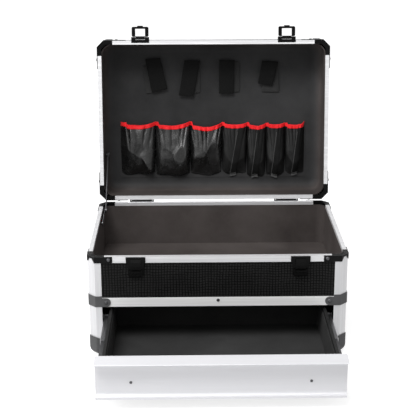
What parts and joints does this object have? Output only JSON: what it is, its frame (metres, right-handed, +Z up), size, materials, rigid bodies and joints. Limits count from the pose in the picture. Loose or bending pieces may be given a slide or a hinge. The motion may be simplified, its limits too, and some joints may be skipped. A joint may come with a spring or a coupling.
{
  "type": "aluminum carry case",
  "caption": "Hard-sided aluminium-framed carry case with a hinged tool-pocket lid, snap latches, a carry handle and a pull-out drawer under the main compartment.",
  "frame": {"origin": "on the floor under the middle of the base", "axes": "+Z up, -Y is the front, where the drawer comes out, +X is the right-hand side seen from the front"},
  "size_m": [0.4604, 0.6676, 0.5333],
  "materials": {
    "aluminium": "brushed satin",
    "black_laminate": "embossed satin",
    "board": "dark stained fibreboard",
    "lining": "matt grained foam sheet",
    "corner_black": "grained satin",
    "black_metal": "satin black",
    "steel": "zinc plated",
    "black_plastic": "satin",
    "pocket_cloth": "woven matt",
    "red_tape": "woven tape"
  },
  "bodies": {
    "base": {"bottom_panel": "black_laminate", "front_panel": "black_laminate", "rear_panel": "black_laminate", "left_panel": "black_laminate", "right_panel": "black_laminate", "compartment_floor": "board", "compartment_lining": "lining", "base_rim_rails": "aluminium", "bottom_rails": "aluminium", "mid_rails": "aluminium", "corner_posts": "aluminium", "base_rim_corners": "corner_black", "mid_corners": "corner_black", "bottom_corners": "corner_black", "base_rivets": "black_metal", "feet": "black_plastic", "mid_rail_plug": "black_plastic", "runner_battens": "board", "slide_outer_left": "steel", "slide_outer_right": "steel", "hinge_base_leaves": "black_metal", "latch_housing_left": "black_metal", "latch_housing_right": "black_metal"},
    "lid": {"lid_top_panel": "black_laminate", "lid_end_panels": "black_laminate", "lid_side_panels": "black_laminate", "lid_lining": "lining", "lid_rim_rails": "aluminium", "lid_corner_posts": "aluminium", "lid_edge_rails": "aluminium", "lid_rim_corners": "corner_black", "lid_top_corners": "corner_black", "lid_rivets": "black_metal", "hinge_lid_leaves": "black_metal", "hasp_plates": "black_metal", "handle_brackets": "black_plastic", "pocket_back": "pocket_cloth", "large_pockets": "pocket_cloth", "small_pockets": "pocket_cloth", "large_pocket_binding": "red_tape", "small_pocket_binding": "red_tape", "webbing_loops": "pocket_cloth"},
    "hasp_left": {"hasp_left": "black_metal"},
    "hasp_right": {"hasp_right": "black_metal"},
    "catch_left": {"latch_catch_left": "black_metal"},
    "catch_right": {"latch_catch_right": "black_metal"},
    "handle": {"carry_handle": "black_plastic"},
    "drawer": {"drawer_front": "aluminium", "drawer_screws": "steel", "drawer_side_left": "board", "drawer_side_right": "board", "drawer_ends": "board", "drawer_bottom": "board", "drawer_lining": "lining", "slide_inner_left": "steel", "slide_inner_right": "steel"},
    "slide_left": {"slide_middle_left": "steel"},
    "slide_right": {"slide_middle_right": "steel"},
    "stay_lower": {"stay_lower_link": "steel"},
    "stay_upper": {"stay_upper_link": "steel"}
  },
  "joints": [
    {"name": "lid_hinge", "type": "hinge", "parent": "base", "child": "lid", "pos_m": [0, 0.1602, 0.1905], "axis": [1, 0, 0], "range_deg": [0, 98]},
    {"name": "drawer_slide", "type": "slide", "parent": "base", "child": "drawer", "axis": [0, 1, 0], "range_m": [0, 0.214]},
    {"name": "slide_left_run", "type": "slide", "parent": "base", "child": "slide_left", "axis": [0, 1, 0], "range_m": [0, 0.107]},
    {"name": "slide_right_run", "type": "slide", "parent": "base", "child": "slide_right", "axis": [0, 1, 0], "range_m": [0, 0.107]},
    {"name": "hasp_left_hinge", "type": "hinge", "parent": "lid", "child": "hasp_left", "pos_m": [-0.1435, 0.20813, 0.50923], "axis": [1, 0, 0], "range_deg": [-90, 90]},
    {"name": "hasp_right_hinge", "type": "hinge", "parent": "lid", "child": "hasp_right", "pos_m": [0.1435, 0.20813, 0.50923], "axis": [1, 0, 0], "range_deg": [-90, 90]},
    {"name": "catch_left_slide", "type": "slide", "parent": "base", "child": "catch_left", "axis": [0, 0, 1], "range_m": [0, 0.0025]},
    {"name": "catch_right_slide", "type": "slide", "parent": "base", "child": "catch_right", "axis": [0, 0, 1], "range_m": [0, 0.0025]},
    {"name": "handle_hinge", "type": "hinge", "parent": "lid", "child": "handle", "pos_m": [0, 0.28098, 0.35651], "axis": [1, 0, 0], "range_deg": [-8, 172]},
    {"name": "stay_lower_hinge", "type": "hinge", "parent": "base", "child": "stay_lower", "pos_m": [-0.2171, 0.065, 0.176], "axis": [1, 0, 0], "range_deg": [-76.4, 0]},
    {"name": "stay_upper_hinge", "type": "hinge", "parent": "lid", "child": "stay_upper", "pos_m": [-0.2153, 0.23119, 0.26808], "axis": [1, 0, 0], "range_deg": [-42.7, 0]}
  ],
  "couplings": [
    {"joint": "slide_left_run", "follows": "drawer_slide", "ratio": 0.5},
    {"joint": "slide_right_run", "follows": "drawer_slide", "ratio": 0.5},
    {"joint": "stay_lower_hinge", "follows": "lid_hinge", "ratio": -0.77947},
    {"joint": "stay_upper_hinge", "follows": "lid_hinge", "ratio": -0.43567}
  ]
}
